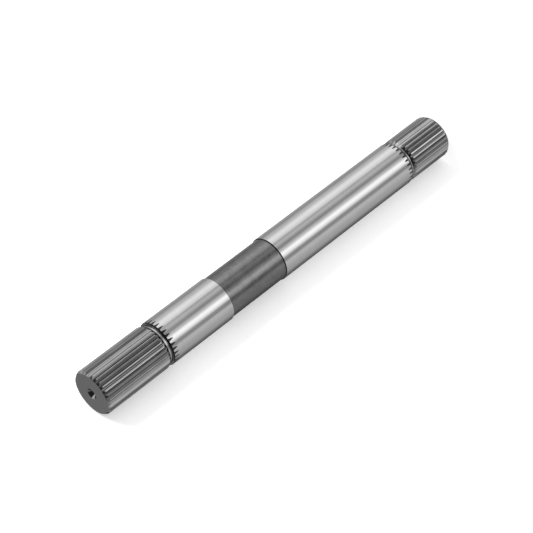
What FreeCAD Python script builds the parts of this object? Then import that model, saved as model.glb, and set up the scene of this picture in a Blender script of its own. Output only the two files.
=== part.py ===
import FreeCAD, Part
import math
import os
from FreeCAD import Vector

# A splined transmission input shaft: one steel bar, turned, hobbed at both ends and ground on two journals.
# It stands on its short-splined end, with +Z up its axis. Sizes are in mm and angles in degrees.

# Lengths along the bar
overall_length = 257.4
long_spline = 40.8         # from the upper end face to where the tooth tips end
long_spline_neck = 3.8     # from there to the short journal's shoulder
short_journal = 42.0
long_journal = 100.1
short_spline = 27.8        # from the lower end face
short_spline_neck = 4.1

# Splines with involute flanks, which are straight to 0.03 mm over a tooth this short
teeth = 31
tooth_module = 25.4 / 32
flank_angle = 45
tip_height = 0.5           # above the pitch circle, in modules
root_depth = 0.65          # below it, in modules
flank_clearance = 0.05     # taken off each flank, so that a hub slides on
tooth_end_cone = 70        # full angle of the cones that bevel the teeth at both ends
short_spline_topping = 0.15  # taken off the lower teeth's tips
short_spline_turn = 1.7    # the lower teeth stand this much clockwise of the upper ones
cutter_radius = 32.0       # the hob, which leaves a tapering notch where it lifts out
long_spline_notch = 2.8    # how far the notches run into the short journal
short_spline_notch = 2.5   # and into the long journal
overrun = 1.1              # the cut reaches past the bar by this factor

# Steps in radius
journal_step = 0.04        # a journal stands above the upper teeth
middle_step = 0.54         # the middle lies below the journals
neck_step = 0.44           # a neck's floor lies below the gaps
face_step = 0.04           # so does the rim of each end face
neck_corner = 0.6          # round between a neck's floor and its shoulder
journal_edge = 0.35        # bevel on the journals' inner edges

# Centre holes for turning and grinding, one in each end
centre_mouth = 6.4
centre_drill = 3.15
centre_depth = 7.5
centre_cone = 60
drill_point = 118

# Radii that follow
pitch_radius = teeth * tooth_module / 2
base_radius = pitch_radius * math.cos(math.radians(flank_angle))
tip_radius = pitch_radius + tip_height * tooth_module
root_radius = pitch_radius - root_depth * tooth_module
neck_radius = root_radius - neck_step
face_radius = root_radius - face_step
journal_radius = tip_radius + journal_step
middle_radius = journal_radius - middle_step

long_end = {"spline": long_spline, "neck": long_spline_neck, "notch": long_spline_notch,
            "tip": tip_radius}
short_end = {"spline": short_spline, "neck": short_spline_neck, "notch": short_spline_notch,
             "tip": tip_radius - short_spline_topping}


def chain(points):
    """Straight edges from each point to the next."""
    return [Part.makeLine(a, b) for a, b in zip(points, points[1:])]


def cone_depth(angle, narrowing):
    """The length of a cone of that full angle over which its radius changes by that much."""
    return narrowing / math.tan(math.radians(angle / 2))


def end_outline(end, at):
    """One end's outline, from the bar's axis to the top of the shoulder. at(r, d) is d from the end face."""
    mouth = centre_mouth / 2
    drill = centre_drill / 2
    tip = end["tip"]
    shoulder = end["spline"] + end["neck"]
    corner_middle = neck_corner * (1 - math.sqrt(0.5))
    floor_end = at(neck_radius, shoulder - neck_corner)
    wall_start = at(neck_radius + neck_corner, shoulder)
    to_floor = chain([
        at(0, centre_depth + cone_depth(drill_point, drill)),
        at(drill, centre_depth),
        at(drill, cone_depth(centre_cone, mouth - drill)),
        at(mouth, 0),
        at(face_radius, 0),
        at(tip, cone_depth(tooth_end_cone, tip - face_radius)),
        at(tip, end["spline"]),
        at(neck_radius, end["spline"] + cone_depth(tooth_end_cone, tip - neck_radius)),
        floor_end,
    ])
    corner = Part.Arc(floor_end, at(neck_radius + corner_middle, shoulder - corner_middle), wall_start)
    wall = chain([wall_start, at(journal_radius, shoulder)])
    return to_floor + [corner.toShape()] + wall


def barrel_outline():
    """The outline between the shoulders: the long journal, the rough middle and the short journal."""
    lower = short_spline + short_spline_neck
    upper = overall_length - long_spline - long_spline_neck
    step_in = lower + long_journal
    step_out = upper - short_journal
    bevelled = journal_radius - journal_edge
    return chain([
        Vector(journal_radius, 0, lower),
        Vector(journal_radius, 0, step_in - journal_edge),
        Vector(bevelled, 0, step_in),
        Vector(middle_radius, 0, step_in),
        Vector(middle_radius, 0, step_out),
        Vector(bevelled, 0, step_out),
        Vector(journal_radius, 0, step_out + journal_edge),
        Vector(journal_radius, 0, upper),
    ])


def turned_bar():
    """The bar before its teeth are cut."""
    def from_below(r, d):
        return Vector(r, 0, d)

    def from_above(r, d):
        return Vector(r, 0, overall_length - d)

    below = end_outline(short_end, from_below)
    above = end_outline(long_end, from_above)
    axis = Part.makeLine(below[0].Vertexes[0].Point, above[0].Vertexes[0].Point)
    edges = below + barrel_outline() + above + [axis]
    outline = Part.Wire(Part.__sortEdges__(edges))
    return Part.Face(outline).revolve(Vector(0, 0, 0), Vector(0, 0, 1), 360)


def involute(angle):
    """The involute function of an angle in radians."""
    return math.tan(angle) - angle


def flank_point(radius, side, z):
    """The point at that radius on one flank of the gap that faces +X. side is 1 or -1."""
    half_gap = (math.pi / (2 * teeth) - involute(math.radians(flank_angle))
                + involute(math.acos(base_radius / radius)) + flank_clearance / radius)
    return Vector(radius * math.cos(half_gap), side * radius * math.sin(half_gap), z)


def gap_face(tip, z):
    """The gap's section: a flat floor, the flanks, and parallel sides outside the tips."""
    outside = overrun * journal_radius
    flanks = []
    for side in (1, -1):
        top = flank_point(tip, side, z)
        flanks.append([flank_point(root_radius, side, z), top, Vector(outside, top.y, z)])
    left, right = flanks
    return Part.Face(Part.makePolygon(left + right[::-1] + left[:1]))


def gap_cutter(end):
    """What the hob removes for one gap, with the end face at z = 0 and the bar above it."""
    lift_angle = math.acos(1 - (journal_radius - root_radius) / cutter_radius)
    run_out = cutter_radius * math.sin(lift_angle)
    lift_start = end["spline"] + end["neck"] + end["notch"] - run_out
    face = gap_face(end["tip"], lift_start)
    straight = face.extrude(Vector(0, 0, -overrun * lift_start))
    cutter_axis = Vector(root_radius + cutter_radius, 0, lift_start)
    lifted = face.revolve(cutter_axis, Vector(0, 1, 0), math.degrees(overrun * lift_angle))
    return straight.fuse(lifted)


def gap_ring(end, turn):
    """All the gaps of one spline. The first is turned from +X by that angle."""
    cutter = gap_cutter(end)
    ring = []
    for i in range(teeth):
        gap = cutter.copy()
        gap.rotate(Vector(0, 0, 0), Vector(0, 0, 1), turn + 360 * i / teeth)
        ring.append(gap)
    return ring


def input_shaft():
    """The finished shaft."""
    lower_gaps = gap_ring(short_end, -short_spline_turn)
    upper_gaps = gap_ring(long_end, 0)
    for gap in upper_gaps:
        gap.rotate(Vector(0, 0, 0), Vector(1, 0, 0), 180)
        gap.translate(Vector(0, 0, overall_length))
    return turned_bar().cut(lower_gaps + upper_gaps)


os.makedirs("parts", exist_ok=True)
input_shaft().exportStep("parts/input_shaft.step")
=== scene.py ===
import math

import bmesh
import bpy
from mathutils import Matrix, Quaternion, Vector


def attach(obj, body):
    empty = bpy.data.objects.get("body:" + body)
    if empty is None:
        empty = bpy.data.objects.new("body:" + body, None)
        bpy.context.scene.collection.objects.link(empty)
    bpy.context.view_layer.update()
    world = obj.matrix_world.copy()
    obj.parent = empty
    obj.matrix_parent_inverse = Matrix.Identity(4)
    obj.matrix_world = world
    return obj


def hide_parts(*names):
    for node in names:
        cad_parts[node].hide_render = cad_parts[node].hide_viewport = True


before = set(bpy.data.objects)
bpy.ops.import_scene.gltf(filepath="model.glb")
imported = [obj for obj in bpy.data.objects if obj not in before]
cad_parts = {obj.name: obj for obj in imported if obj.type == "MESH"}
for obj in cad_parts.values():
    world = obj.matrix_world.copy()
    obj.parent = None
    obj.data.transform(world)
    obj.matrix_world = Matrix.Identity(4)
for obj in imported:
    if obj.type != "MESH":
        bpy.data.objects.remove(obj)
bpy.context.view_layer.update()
mm = 0.001

# the photograph's viewpoint, 30 degrees above the shaft's middle
view = {
    "at": (0.08041, -0.81877, 0.61001),
    "over": (-0.00206, -0.00021, 0.13574),  # what lies in the middle of the picture
    "roll": -127.24,                        # the shaft's upper end comes to the lower left
    "lens": 123.26,
}
azimuth = math.atan2(view["at"][1], view["at"][0])

# the shaft's surface: the solid's, with true involutes and with its edges broken
shaft = {
    "length": 257.4,
    "teeth": 31,
    "pitch": 12.303,       # pitch circle's radius
    "flank": 45,           # pressure angle
    "slack": 0.05,         # taken off each flank
    "root": 11.787,
    "journal": 12.74,
    "middle": 12.2,
    "neck": 11.347,
    "face": 11.747,
    "toothEnd": 35,        # bevels at the ends of the teeth, from the axis
    "corner": 0.6,         # round between neck and shoulder
    "bevel": 0.35,         # on the journals' inner edges
    "hob": 32.0,
    "edge": 0.05,          # broken edge along each tooth
    "aroundTooth": 12,     # points
}
# the last entry of each end is how far the shoulder's dark finish runs back along the neck: painted shade at
# the foot of the shoulder
longEnd = {"spline": 40.8, "neck": 3.8, "notch": 2.8, "tip": 12.7, "turn": 0.0, "shadeBand": 1.0}
shortEnd = {"spline": 27.8, "neck": 4.1, "notch": 2.5, "tip": 12.55, "turn": -1.7, "shadeBand": 1.95}
journals = {"lower": (31.9, 132.0), "upper": (170.8, 212.8)}
centreHole = {"mouth": 3.2, "drill": 1.575, "depth": 7.5, "cone": 60, "point": 118}


def involute(angle):
    return math.tan(angle) - angle


def halfGap(radius):
    # the point of one flank at that radius, with the gap's middle along x
    pressure = math.radians(shaft["flank"])
    base = shaft["pitch"] * math.cos(pressure)
    angle = math.pi / (2 * shaft["teeth"]) - involute(pressure) + involute(math.acos(base / radius))
    angle += shaft["slack"] / radius
    return radius * math.cos(angle), radius * math.sin(angle)


def liftStart(end):
    rise = math.acos(1 - (shaft["journal"] - shaft["root"]) / shaft["hob"])
    return end["spline"] + end["neck"] + end["notch"] - shaft["hob"] * math.sin(rise)


def floorAt(end, depth):
    # the gap's floor, depth mm from the end face: it rises where the hob lifts out
    past = max(0.0, depth - liftStart(end))
    return shaft["root"] + shaft["hob"] - math.sqrt(shaft["hob"] ** 2 - past ** 2)


def gapAt(end, depth, outer):
    # (radius, angle) of the gap's floor corner, mid flank, flank top and land edge in a bar of radius outer
    floor = floorAt(end, depth)
    low = halfGap(shaft["root"])[1]
    if floor >= outer - 1e-6:
        return [(outer, low / outer)] * 4
    axis = shaft["root"] + shaft["hob"]
    past = max(0.0, depth - liftStart(end))

    def halfWidth(radius):
        y = low
        for step in range(8):
            x = math.sqrt(radius ** 2 - y ** 2)
            reach = axis - math.hypot(axis - x, past)
            y = halfGap(min(max(math.hypot(reach, y), shaft["root"]), end["tip"]))[1]
        return y

    edge = min(shaft["edge"], 0.3 * (outer - floor))
    top = outer - 0.85 * edge
    mid = (floor + top) / 2
    return [(floor, low / floor), (mid, halfWidth(mid) / mid), (top, halfWidth(top) / top),
            (outer, (halfWidth(outer) + 0.6 * edge) / outer)]


def ring(z, outer, end=None, depth=0.0):
    # one ring of points. A ring with an end follows that spline's gaps, any other is evenly spaced
    half = math.pi / shaft["teeth"]
    if end:
        gap = gapAt(end, depth, outer)
        side = gap + [(outer, (gap[-1][1] + half) / 2)]
        row = [(outer, -half)] + [(r, -a) for r, a in reversed(side)] + [(gap[0][0], 0.0)] + side
    else:
        count = shaft["aroundTooth"]
        row = [(outer, half * (2 * i / count - 1)) for i in range(count)]
    turn = math.radians(end["turn"]) if end else 0.0
    points = []
    for tooth in range(shaft["teeth"]):
        for radius, angle in row:
            a = turn + 2 * half * tooth + angle
            points.append((radius * math.cos(a) * mm, radius * math.sin(a) * mm, z * mm))
    return points


def endRings(end):
    # from the centre hole's point to the end of the notches: (depth, radius, follows the gaps, finish beyond)
    hole = centreHole
    cone = (hole["mouth"] - hole["drill"]) / math.tan(math.radians(hole["cone"] / 2))
    point = hole["drill"] / math.tan(math.radians(hole["point"] / 2))
    shoulder = end["spline"] + end["neck"]
    slope = 1 / math.tan(math.radians(shaft["toothEnd"]))
    rings = [
        # the drilled bore is painted nearly black as shade inside the hole
        (hole["depth"] + point, 0.0, False, "bore"),
        (hole["depth"], hole["drill"], False, "bore"),
        (cone, hole["drill"], False, "cone"),
        (0.0, hole["mouth"], False, "endFace"),
        (0.0, shaft["face"], False, "teeth"),
        ((shaft["root"] - shaft["face"]) * slope, shaft["root"], True, "teeth"),
        ((end["tip"] - shaft["face"]) * slope, end["tip"], True, "teeth"),
    ]
    # along the teeth and down their inner ends
    first = liftStart(end)
    rings += [(first + (end["spline"] - first) * i / 3, end["tip"], True, "teeth") for i in range(4)]
    drop = 0.0
    while end["tip"] - drop > floorAt(end, end["spline"] + drop * slope):
        drop += 0.002
    rings += [
        (end["spline"] + drop * slope, end["tip"] - drop, True, "teeth"),
        (end["spline"] + (end["tip"] - shaft["neck"]) * slope, shaft["neck"], False, "neck"),
        # the neck's last stretch before the shoulder takes the dark shoulder finish as painted shade
        (shoulder - end["shadeBand"], shaft["neck"], False, "shoulder"),
    ]
    # the round into the shoulder and the shoulder's face are painted dark as shade
    turns = 9
    for i in range(turns + 1):
        a = math.radians(90 * i / turns)
        rings.append((shoulder - shaft["corner"] * (1 - math.sin(a)),
                      shaft["neck"] + shaft["corner"] * (1 - math.cos(a)), False, "shoulder"))
    rings.append((shoulder, floorAt(end, shoulder), True, "shoulder"))
    steps = 14
    rings += [(shoulder + end["notch"] * i / steps, shaft["journal"], True, "ground")
              for i in range(steps + 1)]
    return rings


def finishOf(finish, column, notched):
    # lands keep the bar's own brighter tone; flanks and gap floors are painted darker as shade in the gaps,
    # and the notches the hob cut in a journal are painted nearly black as shade
    if finish == "ground" and notched and 2 <= column <= 9:
        return "notch"
    if finish == "teeth" and column in (0, 1, 10, 11):
        return "land"
    if finish == "teeth" and column in (5, 6):
        return "floor"
    return finish


def shaftMesh(slots):
    length = shaft["length"]
    rows, finishes = [], []
    for depth, radius, follows, finish in endRings(shortEnd):
        rows.append(ring(depth, radius, shortEnd if follows else None, depth))
        finishes.append(finish)
    low, high = journals["lower"][1], journals["upper"][0]
    bevelled = shaft["journal"] - shaft["bevel"]
    barrel = [
        (journals["lower"][0] + shortEnd["notch"] + 1.5, shaft["journal"], "ground"),
        # the journals' inner bevels and the steps down to the middle take the shoulder finish, painted dark
        # as shade
        (low - shaft["bevel"], shaft["journal"], "shoulder"),
        (low, bevelled, "shoulder"),
        (low, shaft["middle"], "rough"),
        (high, shaft["middle"], "shoulder"),
        (high, bevelled, "shoulder"),
        (high + shaft["bevel"], shaft["journal"], "ground"),
        (journals["upper"][1] - longEnd["notch"] - 1.5, shaft["journal"], "ground"),
    ]
    for z, radius, finish in barrel:
        rows.append(ring(z, radius))
        finishes.append(finish)
    upper = endRings(longEnd)[::-1]
    rows += [ring(length - depth, radius, longEnd if follows else None, depth)
             for depth, radius, follows, finish in upper]
    # these rings run towards the end face, so each band takes its finish from the ring after it
    finishes += [finish for depth, radius, follows, finish in upper[1:]]

    mesh = bpy.data.meshes.new("shaft_surface")
    bm = bmesh.new()
    around = shaft["teeth"] * shaft["aroundTooth"]
    verts = [[bm.verts.new(p) for p in row] for row in rows]
    for i in range(len(rows) - 1):
        a, b = verts[i], verts[i + 1]
        z = (rows[i][0][2] + rows[i + 1][0][2]) / 2 / mm
        notched = z < journals["lower"][0] + shortEnd["notch"] or z > journals["upper"][1] - longEnd["notch"]
        for j in range(around):
            k = (j + 1) % around
            face = bm.faces.new((a[j], a[k], b[k], b[j]))
            face.smooth = True
            face.material_index = slots.index(finishOf(finishes[i], j % shaft["aroundTooth"], notched))
    bmesh.ops.remove_doubles(bm, verts=bm.verts, dist=1e-7)
    bm.to_mesh(mesh)
    bm.free()
    mesh.set_sharp_from_angle(angle=math.radians(14))
    return mesh


def nodesOf(material):
    material.use_nodes = True
    tree = material.node_tree
    tree.nodes.clear()

    def add(kind, x=0, y=0, **settings):
        node = tree.nodes.new(kind)
        node.location = (x, y)
        for key, value in settings.items():
            if key in node.inputs:
                node.inputs[key].default_value = value
            else:
                setattr(node, key, value)
        return node

    return tree, add, tree.links.new


def steel(name, look):
    # bare steel: a tone that wanders, turning or grinding lines round the bar, and a fine grain
    material = bpy.data.materials.new(name)
    tree, add, link = nodesOf(material)
    out = add("ShaderNodeOutputMaterial", 900)
    surface = add("ShaderNodeBsdfPrincipled", 600, Metallic=1.0, Anisotropic=look.get("brushed", 0.0))
    surface.inputs["Specular Tint"].default_value = (look.get("grazing", 1.0),) * 3 + (1,)
    coords = add("ShaderNodeTexCoord", -1100)
    squash = add("ShaderNodeMapping", -900, 200)
    squash.inputs["Scale"].default_value = look["stretch"]
    lines = add("ShaderNodeTexNoise", -650, 200, Scale=look["fine"], Detail=3.0, Roughness=0.6)
    patches = add("ShaderNodeTexNoise", -650, -100, Scale=look["patches"], Detail=3.0, Roughness=0.6)
    mixed = add("ShaderNodeMath", -400, 100, operation="ADD")
    tone = add("ShaderNodeMapRange", -100, 200)
    tone.inputs["From Min"].default_value = 0.7
    tone.inputs["From Max"].default_value = 1.3
    tone.inputs["To Min"].default_value = look["grey"] * (1 - look["uneven"])
    tone.inputs["To Max"].default_value = look["grey"] * (1 + look["uneven"])
    roughness = add("ShaderNodeMapRange", -100, -100)
    roughness.inputs["From Min"].default_value = 0.3
    roughness.inputs["From Max"].default_value = 0.7
    roughness.inputs["To Min"].default_value = look["rough"] * 0.85
    roughness.inputs["To Max"].default_value = look["rough"] * 1.15
    bump = add("ShaderNodeBump", 300, -250, Strength=look["relief"], Distance=0.00002)
    link(coords.outputs["Object"], squash.inputs["Vector"])
    link(squash.outputs["Vector"], lines.inputs["Vector"])
    link(coords.outputs["Object"], patches.inputs["Vector"])
    link(lines.outputs["Fac"], mixed.inputs[0])
    link(patches.outputs["Fac"], mixed.inputs[1])
    link(mixed.outputs[0], tone.inputs["Value"])
    link(patches.outputs["Fac"], roughness.inputs["Value"])
    link(lines.outputs["Fac"], bump.inputs["Height"])
    link(roughness.outputs["Result"], surface.inputs["Roughness"])
    link(bump.outputs["Normal"], surface.inputs["Normal"])
    if "brushed" in look:
        tangent = add("ShaderNodeTangent", 300, -450, direction_type="RADIAL", axis="Z")
        link(tangent.outputs["Tangent"], surface.inputs["Tangent"])
    link(tone.outputs["Result"], surface.inputs["Base Color"])
    link(surface.outputs["BSDF"], out.inputs["Surface"])
    return material


# patterns that lie round the bar, along it, or neither way
roundBar = {"stretch": (0.06, 0.06, 4.0), "fine": 1500.0, "patches": 200.0, "relief": 0.2}
along = {"stretch": (3.0, 3.0, 0.15), "fine": 700.0, "patches": 120.0, "relief": 0.1, "grazing": 0.15}
even = {"stretch": (1.0, 1.0, 1.0), "fine": 2400.0, "patches": 300.0, "relief": 0.3}
finishes = {
    "ground": {**roundBar, "grey": 0.58, "rough": 0.13, "uneven": 0.05, "fine": 900.0, "patches": 60.0,
               "relief": 0.15, "brushed": 0.4},
    "rough": {**even, "grey": 0.2, "rough": 0.2, "uneven": 0.2},        # the unground middle
    "endFace": {**even, "grey": 0.13, "rough": 0.3, "uneven": 0.15},
    "teeth": {**along, "grey": 0.27, "rough": 0.14, "uneven": 0.12},    # flanks, painted darker than the lands as shade in the gaps
    "land": {**along, "grey": 0.5, "rough": 0.16, "uneven": 0.12},
    # gap floors, painted darker than the lands as shade in the gaps
    "floor": {**along, "grey": 0.18, "rough": 0.16, "uneven": 0.12},
    # the hob's notches in the journals, painted nearly black as shade in the recesses
    "notch": {**along, "grey": 0.06, "rough": 0.3, "uneven": 0.12},
    "neck": {**roundBar, "grey": 0.45, "rough": 0.2, "uneven": 0.06, "relief": 0.3},
    # faces and rounds that step down between diameters, painted dark as shade
    "shoulder": {**roundBar, "grey": 0.1, "rough": 0.15, "uneven": 0.06},
    "cone": {**roundBar, "grey": 0.35, "rough": 0.12, "uneven": 0.05},
    # the centre hole's bore, painted nearly black as shade inside the hole
    "bore": {**roundBar, "grey": 0.08, "rough": 0.3, "uneven": 0.1},
}
surface = bpy.data.objects.new("shaft_surface", shaftMesh(list(finishes)))
bpy.context.scene.collection.objects.link(surface)
for name, look in finishes.items():
    surface.data.materials.append(steel(name + "_steel", look))
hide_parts("input_shaft")
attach(surface, "root")
print("shaft:", len(surface.data.polygons), "faces")

# floor, and a wall behind the shaft that only the camera sees
stage = {
    "turned": 33.5,                          # how far round from the camera the wall faces
    "floor": {"paint": 0.4, "glow": 0.8},
    "backdrop": {"paint": 0.8, "glow": 0.42},
}


def stagePlane(name, size):
    mesh = bpy.data.meshes.new(name)
    corners = [(-size, -size, 0), (size, -size, 0), (size, size, 0), (-size, size, 0)]
    mesh.from_pydata(corners, [], [(0, 1, 2, 3)])
    plane = bpy.data.objects.new(name, mesh)
    bpy.context.scene.collection.objects.link(plane)
    material = bpy.data.materials.new(name)
    tree, add, link = nodesOf(material)
    out = add("ShaderNodeOutputMaterial", 900)
    paint = add("ShaderNodeBsdfDiffuse", 0, 100, Color=(stage[name]["paint"],) * 3 + (1,))
    light = add("ShaderNodeEmission", 0, -100, Color=(1, 1, 1, 1), Strength=stage[name]["glow"])
    both = add("ShaderNodeAddShader", 250)
    clear = add("ShaderNodeBsdfTransparent", 250, -200)
    side = add("ShaderNodeNewGeometry", 250, 300)
    oneSided = add("ShaderNodeMixShader", 600)
    link(paint.outputs[0], both.inputs[0])
    link(light.outputs[0], both.inputs[1])
    link(side.outputs["Backfacing"], oneSided.inputs["Fac"])
    link(both.outputs[0], oneSided.inputs[1])
    link(clear.outputs[0], oneSided.inputs[2])
    link(oneSided.outputs[0], out.inputs["Surface"])
    plane.data.materials.append(material)
    return plane


floor = stagePlane("floor", 6.0)
floor.visible_glossy = False
wall = stagePlane("backdrop", 3.0)
facing = azimuth + math.radians(stage["turned"])
wall.rotation_euler = (math.pi / 2, 0, facing + math.pi / 2)
behind = (shaft["journal"] + 0.05) * mm
wall.location = (-behind * math.cos(facing), -behind * math.sin(facing), 3.0)
wall.visible_diffuse = wall.visible_glossy = wall.visible_transmission = wall.visible_shadow = False
print("stage: floor and backdrop")

# soft boxes and flags round the shaft, as a world. Angles are from the camera, clockwise from above
studio = {
    # angle: brightness, as a vertical face of the shaft reflects it
    "around": [(-180, 0.15), (-150, 0.5), (-125, 0.4), (-100, 0.75), (-72, 1.3), (-56, 1.1), (-44, 0.55),
               (-34, 0.75), (-14, 0.35), (0, 0.8), (16, 1.7), (28, 1.3), (40, 0.4), (50, 0.35), (62, 0.75),
               (100, 0.55), (146, 0.15), (165, 0.1), (180, 0.15)],
    "overhead": [(-180, 0.7), (-110, 0.6), (-80, 0.1), (-60, 0.03), (60, 0.03), (90, 0.3), (180, 0.7)],
    # the height, as a sine, where the first gives way to the second
    "change": [(-180, 0.12), (-105, 0.12), (-95, 0.5), (-50, 0.5), (-42, 0.1), (180, 0.12)],
    "onStage": 0.55,
}


def studioLight():
    world = bpy.data.worlds.new("studio")
    bpy.context.scene.world = world
    tree, add, link = nodesOf(world)
    out = add("ShaderNodeOutputWorld", 1500)
    coords = add("ShaderNodeTexCoord", -1200)
    turned = add("ShaderNodeVectorRotate", -1000, rotation_type="Z_AXIS", Angle=-azimuth)
    parts = add("ShaderNodeSeparateXYZ", -800)
    flip = add("ShaderNodeMath", -600, operation="MULTIPLY")
    flip.inputs[1].default_value = -1.0
    angle = add("ShaderNodeMath", -400, operation="ARCTAN2")
    share = add("ShaderNodeMapRange", -200)
    share.inputs["From Min"].default_value = -math.pi
    share.inputs["From Max"].default_value = math.pi
    link(coords.outputs["Generated"], turned.inputs["Vector"])
    link(turned.outputs["Vector"], parts.inputs["Vector"])
    link(parts.outputs["Y"], flip.inputs[0])
    link(flip.outputs[0], angle.inputs[0])
    link(parts.outputs["X"], angle.inputs[1])
    link(angle.outputs[0], share.inputs["Value"])

    def ramp(stops, y):
        node = add("ShaderNodeValToRGB", 0, y)
        node.color_ramp.interpolation = "EASE"
        elements = node.color_ramp.elements
        while len(elements) > 1:
            elements.remove(elements[-1])
        for i, (degrees, value) in enumerate(stops):
            spot = elements[0] if i == 0 else elements.new((degrees + 180) / 360)
            spot.position = (degrees + 180) / 360
            spot.color = (value / 2, value / 2, value / 2, 1)
        link(share.outputs["Result"], node.inputs["Fac"])
        return node

    around = ramp(studio["around"], 300)
    overhead = ramp(studio["overhead"], 0)
    change = ramp(studio["change"], -300)
    double = add("ShaderNodeMath", 300, -300, operation="MULTIPLY")
    double.inputs[1].default_value = 2.0
    above = add("ShaderNodeMath", 500, -300, operation="SUBTRACT")
    height = add("ShaderNodeMapRange", 700, -300, interpolation_type="SMOOTHSTEP")
    height.inputs["From Min"].default_value = -0.06
    height.inputs["From Max"].default_value = 0.06
    link(change.outputs["Color"], double.inputs[0])
    link(parts.outputs["Z"], above.inputs[0])
    link(double.outputs[0], above.inputs[1])
    link(above.outputs[0], height.inputs["Value"])
    both = add("ShaderNodeMix", 700, data_type="RGBA")
    link(height.outputs["Result"], both.inputs["Factor"])
    link(around.outputs["Color"], both.inputs[6])
    link(overhead.outputs["Color"], both.inputs[7])
    path = add("ShaderNodeLightPath", 700, 400)
    reflected = add("ShaderNodeBackground", 950, Strength=2.0)
    link(both.outputs[2], reflected.inputs["Color"])
    soft = add("ShaderNodeBackground", 950, -150, Color=(1, 1, 1, 1), Strength=studio["onStage"])
    white = add("ShaderNodeBackground", 950, -300, Color=(1, 1, 1, 1), Strength=1.2)
    byDiffuse = add("ShaderNodeMixShader", 1150)
    byCamera = add("ShaderNodeMixShader", 1300)
    link(path.outputs["Is Diffuse Ray"], byDiffuse.inputs["Fac"])
    link(reflected.outputs[0], byDiffuse.inputs[1])
    link(soft.outputs[0], byDiffuse.inputs[2])
    link(path.outputs["Is Camera Ray"], byCamera.inputs["Fac"])
    link(byDiffuse.outputs[0], byCamera.inputs[1])
    link(white.outputs[0], byCamera.inputs[2])
    link(byCamera.outputs[0], out.inputs["Surface"])
    world.cycles.sampling_method = "NONE"


studioLight()

# a soft box on the left, for the shadow
key = {"angle": -75, "height": 0.55, "away": 1.1, "size": 0.5, "power": 9.0}
box = bpy.data.objects.new("key", bpy.data.lights.new("key", "AREA"))
bpy.context.scene.collection.objects.link(box)
box.data.size = key["size"]
box.data.energy = key["power"]
toKey = azimuth - math.radians(key["angle"])
box.location = (key["away"] * math.cos(toKey), key["away"] * math.sin(toKey), key["height"])
aimed = Vector((0, 0, 0.13)) - Vector(box.location)
box.rotation_euler = aimed.to_track_quat("-Z", "Y").to_euler()
box.visible_glossy = False
print("light: world and key")

camera = bpy.data.objects.new("camera", bpy.data.cameras.new("camera"))
bpy.context.scene.collection.objects.link(camera)
camera.data.lens = view["lens"]
camera.data.sensor_width = 36.0
camera.data.clip_start = 0.01
camera.location = view["at"]
aim = (Vector(view["over"]) - Vector(view["at"])).to_track_quat("-Z", "Y")
camera.rotation_mode = "QUATERNION"
camera.rotation_quaternion = aim @ Quaternion((0, 0, 1), math.radians(view["roll"]))
bpy.context.scene.camera = camera
bpy.context.scene.view_settings.view_transform = "Standard"
